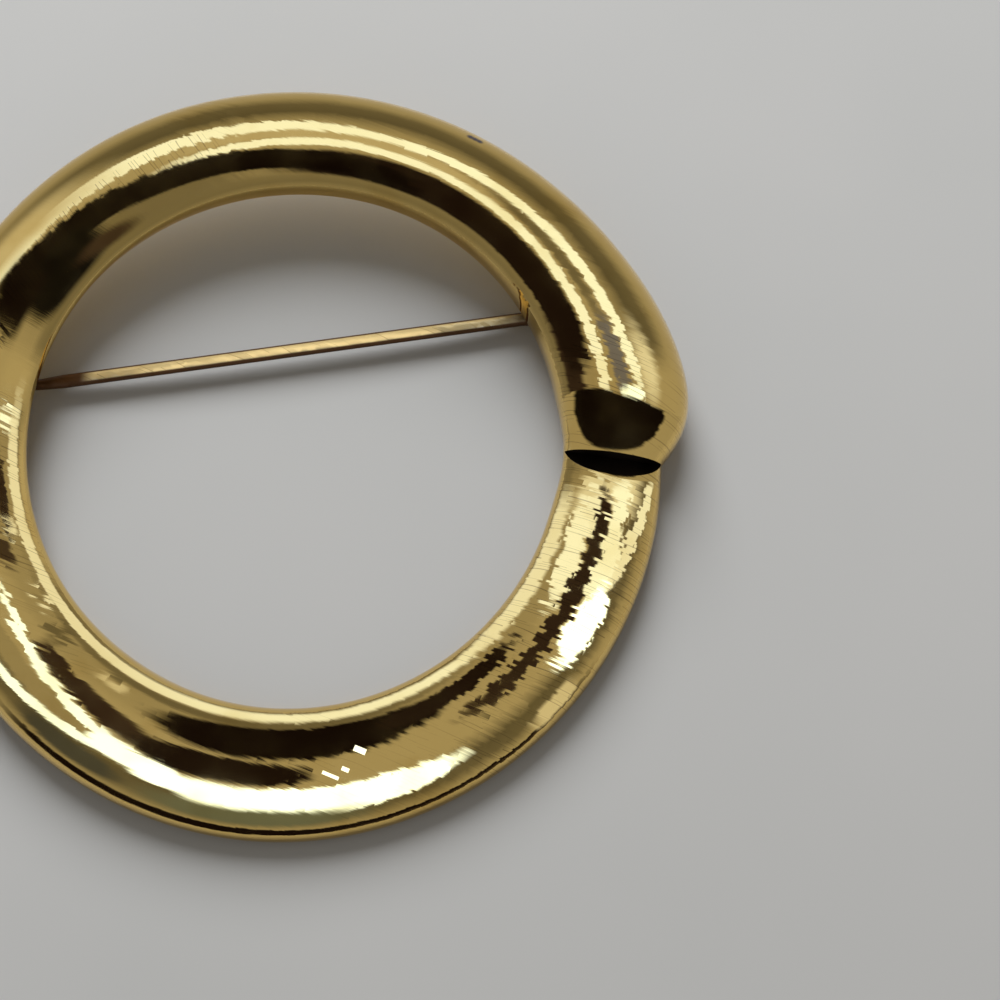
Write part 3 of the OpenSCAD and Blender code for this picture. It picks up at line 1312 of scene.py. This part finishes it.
    def tent_surface(self, g: Graph) -> Socket:
        """The tent's glow, by height and side, with the lamp in it.

        Args:
            g: the tent's nodes.

        Returns:
            The shader.
        """
        way = g.vector("NORMALIZE", g.where)
        x, y, z = g.parts(way)
        height = g.calc("MULTIPLY", g.calc("ARCSINE", z), 2 / math.pi)
        flat = g.calc("MAXIMUM", g.hypotenuse(x, y), 0.001)
        level = [g.calc("DIVIDE", part, flat) for part in (x, y)]
        colour = g.ramp(height, self.tent_near)
        for side in self.tent_sides:
            inside = g.spread(level[side.axis], *side.fade)
            colour = g.blend(inside, colour, g.ramp(height, side.stops))
        lamp_way = Vector(self.lamp_way).normalized()
        angle = g.calc("DEGREES", g.calc("ARCCOSINE", g.along(way, lamp_way)))
        for disc in self.lamp:
            inside = g.spread(angle, disc.radius + disc.soft, disc.radius - disc.soft)
            colour = g.blend(inside, colour, disc.colour)
        return glow(g, colour)

    def tent(self) -> None:
        """The soft white tent that the metal mirrors."""
        bpy.ops.mesh.primitive_uv_sphere_add(segments=64, ring_count=32,
                                             radius=self.tent_radius * MM)
        tent = bpy.context.object
        tent.name = "reflection_tent"
        tent.data.materials.append(new_material("tent_glow", self.tent_surface))
        glow_only(tent)

    def arch_surface(self, g: Graph) -> Socket:
        """The arch's glow: its base by height, with the cards in order over it.

        Turns are brought to 0 to 360 degrees, and heights to -90 to 270.

        Args:
            g: the arch's nodes.

        Returns:
            The shader.
        """
        x, y, z = g.parts(g.where)
        turn = g.calc("MODULO", g.calc("ADD", g.angle(y, x), 360.0), 360.0)
        outwards = g.calc("SUBTRACT", g.hypotenuse(x, y), self.arch_middle * MM)
        height = g.calc("MODULO", g.calc("ADD", g.angle(z, outwards), 450.0), 360.0)
        height = g.calc("SUBTRACT", height, 90.0)
        part = g.calc("DIVIDE", g.calc("SUBTRACT", height, self.arch_from), self.arch_span)
        colour = g.ramp(part, tuple(((h - self.arch_from) / self.arch_span, toned(light))
                                    for h, light in self.arch_base))
        for card in self.cards:
            colour = card.over(g, colour, turn, height)
        return glow(g, colour)

    def arch(self, lie: Lie) -> None:
        """The cards over the ring, as one arch that follows its band.

        Args:
            lie: how the brooch lies.
        """
        bpy.ops.mesh.primitive_torus_add(
            major_segments=144, minor_segments=72,
            major_radius=self.arch_middle * MM, minor_radius=self.arch_reach * MM)
        arch = bpy.context.object
        drop_points(arch, lambda co: co.z < self.arch_foot * self.arch_reach * MM)
        arch.name = "reflection_arch"
        arch.data.materials.append(new_material("arch_glow", self.arch_surface))
        self.flag.build().select_set(True)
        arch.select_set(True)
        bpy.context.view_layer.objects.active = arch
        bpy.ops.object.join()
        arch.matrix_world = lie.of_ring() @ Matrix.Translation((0, 0, self.flag.arch_height * MM))
        glow_only(arch)

    def lights(self) -> None:
        """Soft light on the table from the far side, and an even warm fill."""
        data = bpy.data.lights.new("key", "AREA")
        data.shape = "DISK"
        data.size = self.key_size * MM
        data.energy = self.key_energy
        data.color = self.key_colour
        key = bpy.data.objects.new("key", data)
        key.location = [c * MM for c in self.key_at]
        key.rotation_euler = (-key.location).to_track_quat("-Z", "Y").to_euler()
        key.visible_glossy = False
        bpy.context.scene.collection.objects.link(key)
        world = bpy.data.worlds.new("room")
        world.use_nodes = True
        g = Graph(world.node_tree)
        back = g.add("Background", {"Color": (*self.fill, 1.0), "Strength": self.fill_strength})
        g.add("OutputWorld", {"Surface": back.outputs[0]})
        bpy.context.scene.world = world

    def camera(self, lie: Lie) -> None:
        """The camera, where the photograph was taken from.

        Args:
            lie: how the brooch lies, since the camera was found in the ring's own plane.
        """
        nx, ny = self.facing
        normal = Vector((nx, ny, math.sqrt(1 - nx * nx - ny * ny)))
        right = (Vector((1, 0, 0)) - normal * nx).normalized()
        turn = Matrix((right, normal.cross(right), normal))
        place = Matrix.Translation([c * MM for c in self.eye]) @ turn.to_4x4()
        data = bpy.data.cameras.new("camera")
        data.sensor_width = self.sensor
        data.lens = self.sensor * self.focal / self.picture
        data.clip_start, data.clip_end = self.clip
        camera = bpy.data.objects.new("camera", data)
        camera.matrix_world = lie.of_ring() @ place
        bpy.context.scene.collection.objects.link(camera)
        bpy.context.scene.camera = camera

    def build(self, lie: Lie) -> None:
        """Sets up the whole studio.

        Args:
            lie: how the brooch lies.
        """
        self.table()
        self.tent()
        self.arch(lie)
        self.lights()
        self.camera(lie)
        bpy.context.scene.view_settings.view_transform = "Standard"


def main() -> None:
    """Loads the frame, builds the brooch on it and sets up the studio."""
    logging.basicConfig(level=logging.INFO, format="%(name)s: %(message)s")
    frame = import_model()
    lie = Lie()
    DomedRing().build(lie)
    PinStem().build(lie)
    Fittings(nodes=frame["nodes"]).build()
    Studio().build(lie)


if __name__ == "__main__":
    main()
